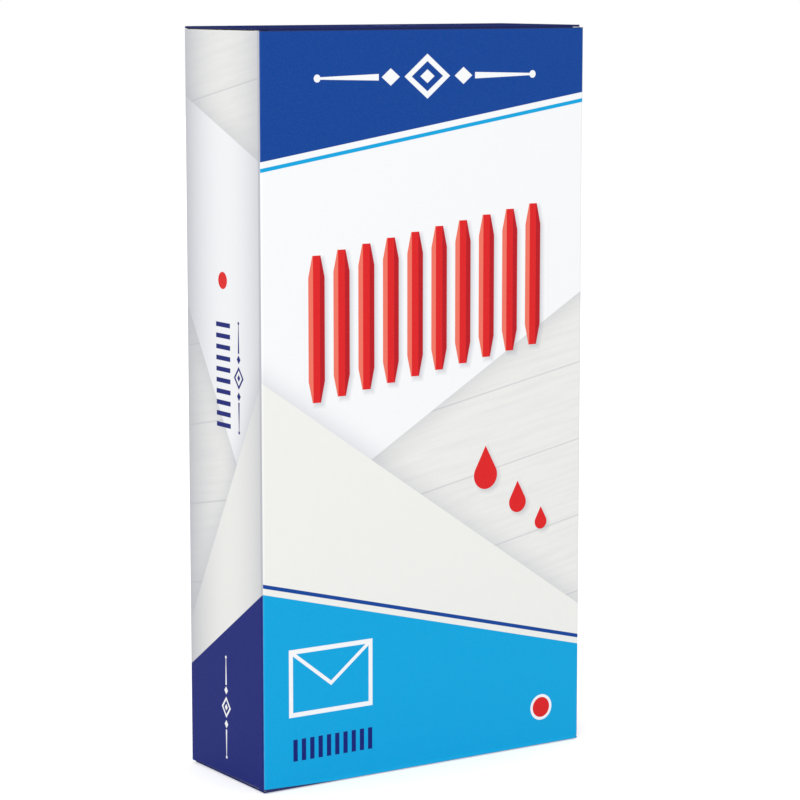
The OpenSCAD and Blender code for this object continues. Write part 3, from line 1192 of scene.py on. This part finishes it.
print("The side's ground darkens towards the folds by up to", SHADE_PAINT_TO_FOLDS)

# %% Artwork of the lids and the flaps
LID_FRAME, LID_FRAME_W = (40.0, 12.0), 0.5
LID_ORNAMENT_SIZE = 0.7
TUCK_INK = 5.5
PAST_FOLD = 4.0


def from_end(up):
    """How far a point lies from the carton's nearer end."""
    return FACE_H / 2 - abs(up - FACE_H / 2)


def lid_art(across, deep, up):
    """The print of the lids: navy, with an ornament. The tuck flap is printed only at its fold."""
    colour = ink(LID_NAVY, outline(bar(across, deep, *LID_FRAME), LID_FRAME_W), ROYAL)
    colour = ink(colour, ornament(across, deep, LID_ORNAMENT_SIZE), SOFT_BLUE)
    return ink(colour, from_end(up) - TUCK_INK, WHITE)


def dust_art(across, up):
    """The print of the dust flaps: the side's ground runs on a little way past the fold."""
    past_fold = abs(across) - (FACE_W / 2 - PAST_FOLD)
    at_top = ink(WHITE, past_fold, TABLE)
    return ink(at_top, both(past_fold, FACE_H / 2 - up), NAVY)


print("The lid's ink reaches", TUCK_INK, "mm down the tuck flap")

# %% [markdown]
# ## Coated board
#
# The printed side is coated with clay and varnished: smooth, with a soft gloss, and only the
# finest grain. Along the long folds the coating wears to a faint, uneven, paler line, which is also
# a painted highlight on the fold. The bare side is grey board made from old paper, with fibres and
# flecks in it. The cut edge shows the same board in layers, and near the carton's ends it is painted
# the lids' navy as painted shade. The number of a plain setting, such as the gloss, sits on the shader.

# %% The finish of coated board
GRAIN_NOISE = (2.4, 3.0)  # each noise has its scale per millimetre, and its detail
GRAIN_FROM, GRAIN, GRAIN_ROUGHNESS, GRAIN_DEPTH = 0.4, 0.06, 0.12, 0.006 * MM
WEAR_AND_HIGHLIGHT_REACH, WEAR_AND_HIGHLIGHT_EDGE = 0.25, 0.4
WEAR_AND_HIGHLIGHT, WEAR_AND_HIGHLIGHT_NOISE = 0.4, (0.35, 6.0)
PRINT_ROUGHNESS, PRINT_GLOSS = 0.42, 0.12
LID_ROUGHNESS, LID_GLOSS = 0.62, 0.0


def place_parts(tree):
    """The place on the closed carton, whole and as x, y and z, in millimetres."""
    place = add_node(tree, "ShaderNodeAttribute", attribute_name="place").outputs["Vector"]
    parts = add_node(tree, "ShaderNodeSeparateXYZ", {0: place})
    return place, [Value(tree, output) for output in parts.outputs]


def bumped(tree, height, depth):
    """A normal with bumps of that depth, in metres."""
    inputs = {"Height": height.socket, "Distance": depth, "Strength": 1.0}
    return add_node(tree, "ShaderNodeBump", inputs).outputs[0]


def principled(material, tree, inputs):
    """Ends a material in a Principled shader with these inputs."""
    finish_with(tree, add_node(tree, "ShaderNodeBsdfPrincipled", inputs).outputs[0])
    return material


def printed(name, draw, folds=None, roughness=PRINT_ROUGHNESS, gloss=PRINT_GLOSS):
    """Coated board. draw gives the colour at x, y and z. folds is their axis and half the width."""
    material, tree = new_material(name)
    place, parts = place_parts(tree)
    colour = draw(*parts)
    fine = noise(tree, place, *GRAIN_NOISE)
    if folds is not None:
        axis, half_width = folds
        # Along the long folds a paler line: partly worn coating, partly a painted highlight on the fold.
        near_fold = share(abs(parts[axis]) - (half_width - WEAR_AND_HIGHLIGHT_REACH), WEAR_AND_HIGHLIGHT_EDGE)
        wear_and_highlight = noise(tree, place, *WEAR_AND_HIGHLIGHT_NOISE) * WEAR_AND_HIGHLIGHT
        colour = over(colour, near_fold * wear_and_highlight, PALE_WEAR_AND_HIGHLIGHT)
    return principled(material, tree, {
        "Base Color": over(colour, (fine - GRAIN_FROM) * GRAIN, SHADOW),
        "Roughness": (fine * GRAIN_ROUGHNESS + (roughness - GRAIN_ROUGHNESS / 2)).socket,
        "Specular IOR Level": gloss,
        "Normal": bumped(tree, fine, GRAIN_DEPTH),
    })


FINISHES = {
    "front": printed("front_face", lambda x, y, z: face_art(x, z), (0, FACE_W / 2)),
    "back": printed("back_face", lambda x, y, z: face_art(-x, z), (0, FACE_W / 2)),
    "left": printed("left_side", lambda x, y, z: side_art(-y, z), (1, SIDE_W / 2)),
    "right": printed("right_side", lambda x, y, z: side_art(y, z), (1, SIDE_W / 2)),
    "lid": printed("lid_print", lid_art, None, LID_ROUGHNESS, LID_GLOSS),
    "dust": printed("dust_flap_print", lambda x, y, z: dust_art(x, z)),
    "plain": printed("plain_coating", lambda x, y, z: WHITE),
}
print("Printed finishes:", ", ".join(FINISHES))

# %% The finish of bare board
LID_EDGE_SHADE = 0.7
FOOT_EDGE_SHADE = 2.0
FIBRE_STRETCH = (0.35, 1.0, 1.0)
FIBRE_NOISE, FLECK_NOISE = (3.0, 5.0), (1.4, 2.0)
FIBRES, FIBRE_EDGE, FIBRE_DEPTH = 0.3, 0.5, 0.02 * MM
# A fleck shows where the noise goes above or below these, and this strongly.
PALE_FLECK, DARK_FLECK, FLECKS = 0.7, 0.27, 0.6
PALE_FLECK_EDGE, DARK_FLECK_EDGE = 0.08, 0.06
BARE_ROUGHNESS, BARE_VARIES, BARE_GLOSS = 0.75, 0.2, 0.1


def uncoated(name, base, dark, light, shade_painted_ends=False):
    """Bare board with fibres and flecks. At the carton's ends, its edges may be painted navy as painted
    shade.
    """
    material, tree = new_material(name)
    place, (_, _, z) = place_parts(tree)
    stretched = {0: place, 1: FIBRE_STRETCH}
    along = add_node(tree, "ShaderNodeVectorMath", stretched, operation="MULTIPLY").outputs[0]
    fibres = noise(tree, along, *FIBRE_NOISE)
    flecks = noise(tree, along, *FLECK_NOISE)
    colour = over(base, share(fibres - 0.5, FIBRE_EDGE) * FIBRES, dark)
    colour = over(colour, share(flecks - PALE_FLECK, PALE_FLECK_EDGE) * FLECKS, light)
    colour = over(colour, share(DARK_FLECK - flecks, DARK_FLECK_EDGE) * FLECKS, dark)
    if shade_painted_ends:
        # Painted shade: the cut edges near both ends and at the foot are painted the lids' navy.
        colour = ink(colour, LID_EDGE_SHADE - from_end(z), LID_NAVY)
        colour = ink(colour, FOOT_EDGE_SHADE - z, LID_NAVY)
    return principled(material, tree, {
        "Base Color": colour,
        "Roughness": (fibres * BARE_VARIES + BARE_ROUGHNESS).socket,
        "Specular IOR Level": BARE_GLOSS,
        "Normal": bumped(tree, fibres, FIBRE_DEPTH),
    })


GREY_BOARD = srgb(214, 209, 198), srgb(176, 168, 154), srgb(238, 235, 228)
EDGE_BOARD = srgb(214, 213, 210), srgb(178, 176, 172), srgb(238, 237, 234)
FINISHES["bare"] = uncoated("bare_board", *GREY_BOARD)
FINISHES["edge"] = uncoated("cut_edge", *EDGE_BOARD, shade_painted_ends=True)
print("Ink reaches", LID_EDGE_SHADE, "mm down the cut edges, and", FOOT_EDGE_SHADE, "mm up at the foot")

# %% [markdown]
# ## Sealing wax and glue
#
# Sealing wax is a resin with red pigment. Light goes a little way in, the skin that met the metal
# mould is smooth with a soft gloss, and the colour clouds where the pigment has settled. The glue
# is a thin dried film, yellowish and streaked by the wheel that put it on. It lies between two
# boards, so a plain surface does for it.

# %% The finish of the wax
WAX, DEEP_WAX, PALE_WAX = srgb(212, 18, 22), srgb(172, 10, 16), srgb(232, 74, 62)
CLOUD_NOISE, SKIN_NOISE, PIT_NOISE = (0.09, 4.0), (0.5, 3.0), (3.2, 2.0)
CLOUDS, CLOUD_EDGE = 0.55, 0.3
PITS, PIT_FROM, PIT_EDGE, PIT_HEIGHT = 0.4, 0.7, 0.08, 0.12
WAX_ROUGHNESS, WAX_VARIES, WAX_GLOSS = 0.2, 0.25, 0.35
WAX_DEPTH = 0.12 * MM
SCATTER, SCATTER_COLOUR, SCATTER_R = 0.2, (1.0, 0.3, 0.2), 0.9 * MM


def wax_finish():
    """Cast red sealing wax."""
    material, tree = new_material("sealing_wax")
    place = {0: add_node(tree, "ShaderNodeTexCoord").outputs["Object"], 3: 1 / MM}
    millimetres = add_node(tree, "ShaderNodeVectorMath", place, operation="SCALE").outputs[0]
    clouds = noise(tree, millimetres, *CLOUD_NOISE)
    skin = noise(tree, millimetres, *SKIN_NOISE)
    pits = noise(tree, millimetres, *PIT_NOISE)
    colour = over(WAX, share(clouds - 0.5, CLOUD_EDGE) * CLOUDS, DEEP_WAX)
    return principled(material, tree, {
        "Base Color": over(colour, share(pits - PIT_FROM, PIT_EDGE) * PITS, PALE_WAX),
        "Roughness": (skin * WAX_VARIES + WAX_ROUGHNESS).socket,
        "Specular IOR Level": WAX_GLOSS,
        "Subsurface Weight": SCATTER,
        "Subsurface Radius": SCATTER_COLOUR,
        "Subsurface Scale": SCATTER_R,
        "Normal": bumped(tree, skin + pits * PIT_HEIGHT, WAX_DEPTH),
    })


FINISHES["wax"] = wax_finish()
print("The wax is rough by", WAX_ROUGHNESS, "to", WAX_ROUGHNESS + WAX_VARIES)

# %% The finish of the glue
GLUE, DARK_GLUE = srgb(226, 216, 188), srgb(206, 192, 158)
GLUE_NOISE = (400.0, 4.0)  # scale per metre, and detail
GLUE_EDGE, GLUE_DEPTH = 0.3, 0.02 * MM
GLUE_ROUGHNESS, GLUE_VARIES = 0.2, 0.3


def glue_finish():
    """A dried film of carton glue."""
    material, tree = new_material("dried_glue")
    place = add_node(tree, "ShaderNodeTexCoord").outputs["Object"]
    streaks = noise(tree, place, *GLUE_NOISE)
    return principled(material, tree, {
        "Base Color": over(GLUE, share(streaks - 0.5, GLUE_EDGE), DARK_GLUE),
        "Roughness": (streaks * GLUE_VARIES + GLUE_ROUGHNESS).socket,
        "Normal": bumped(tree, streaks, GLUE_DEPTH),
    })


FINISHES["glue"] = glue_finish()
print("Finishes:", ", ".join(FINISHES))

# %% [markdown]
# ## Ride and replace
#
# Each piece takes the place of its CAD node. The walls ride on the tube.

# %% Put the board pieces on their bodies
def always(direction):
    """An outward direction that is the same all over a piece."""
    return lambda place: direction


def round_folds(side, *folds_at):
    """The outward direction of a side wall, which leans over where it folds."""
    def outward(place):
        over_y = place.y - carton_middle.y
        near_end = abs(over_y) > (BACK - FRONT) / 2 - FOLD_R
        turns = near_end and math.copysign(1, over_y) in folds_at
        return Vector((side, math.copysign(1, over_y) if turns else 0, 0))
    return outward


def wall_print(place, normal):
    """A wall's print at a place."""
    return nearest_wall(place)


def stand_for(piece, node, outward, print_for):
    """Gives a piece of board its finishes, notes its places, and lets it stand for its CAD node."""
    give_finishes(piece, outward, print_for)
    even_out(piece)
    note_places(piece)
    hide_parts(node)


for wall, node, outward in (
    (front_wall, "front_panel", always(FORWARD)),
    (back_wall, "back_panel", always(BACKWARD)),
    (left_wall, "left_side_panel", round_folds(-1, -1, 1)),
    (right_wall, "right_side_panel", round_folds(1, -1)),
):
    stand_for(wall, node, outward, wall_print)
    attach(wall, "tube")

stand_for(glue_flap, "glue_flap", round_folds(1, 1), lambda place, normal: "plain")
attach(glue_flap, "tube")
print("The four walls and the glue flap ride on the tube")

# %% Finish the closures
def at_end(direction, end):
    """A direction of the top closure, or the same one turned over to the bottom."""
    return direction if end == "top" else Vector((direction.x, -direction.y, -direction.z))


def place_at_end(place, end):
    """A place in the top closure, or the same one turned over to the bottom."""
    return carton_middle + at_end(place - carton_middle, end)


def over_fold(corner, axis, end, turned, flat):
    """The outward direction of a folded piece: turned over close to its fold, flat elsewhere."""
    at_corner = getattr(place_at_end(corner, end), axis)

    def outward(place):
        near = abs(getattr(place, axis) - at_corner) < SHOULDER
        return at_end(turned if near else flat, end)
    return outward


def lid_print(place, normal):
    """A lid's own print, or the wall's on the strip that lies in the wall."""
    return "lid" if abs(normal.z) > abs(normal.y) else nearest_wall(place)


def dust_print(place, normal):
    """A dust flap's own print, or the wall's on the strip that lies in the wall."""
    return "dust" if abs(normal.z) > abs(normal.x) else nearest_wall(place)


for end, lid, tuck in (("top", top_lid, top_tuck), ("bottom", bottom_lid, bottom_tuck)):
    down = at_end(DOWN, end)
    lid_out = over_fold(TOP_HINGE, "y", end, UP + BACKWARD, UP)
    stand_for(lid, f"{end}_lid_panel", lid_out, lid_print)
    bend_over(lid, place_at_end(TOP_HINGE, end), down, at_end(FORWARD, end))
    tuck_out = over_fold(TUCK_HINGE, "z", end, UP + FORWARD, FORWARD)
    stand_for(tuck, f"{end}_tuck_flap", tuck_out, lambda place, normal: "lid")
    hinge = place_at_end(TUCK_HINGE, end)
    bend_over(tuck, hinge, at_end(BACKWARD, end), down)

for (end, side), flap in dust_flaps.items():
    inward = INWARD if side == "left" else -INWARD
    hinge = Vector((LEFT if side == "left" else RIGHT, 0, LEFT_HINGE.z))
    dust_out = over_fold(hinge, "x", end, UP - inward, UP)
    stand_for(flap, f"{end}_{side}_dust_flap", dust_out, dust_print)
    bend_over(flap, place_at_end(hinge, end), at_end(DOWN, end), inward)

# %% Put the sticks on their bodies and finish the glue
for number, stick in enumerate(sticks, start=1):
    stick.data.materials.append(FINISHES["wax"])
    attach(stick, f"stick_{number}")
    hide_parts(f"stick_{number}")
glue_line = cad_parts["glue_line"]
glue_line.data.materials.clear()
glue_line.data.materials.append(FINISHES["glue"])
print(len(sticks), "sticks ride on their bodies, and", glue_line.name, "has its finish")

# %% [markdown]
# ## The finished size
#
# The finished model's size is printed, as the CAD model's was at the start. The
# finished model has to keep the CAD model's box.

# %% Print the finished size
low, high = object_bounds()
print("The finished model measures", [round(side / MM, 1) for side in high - low], "mm")
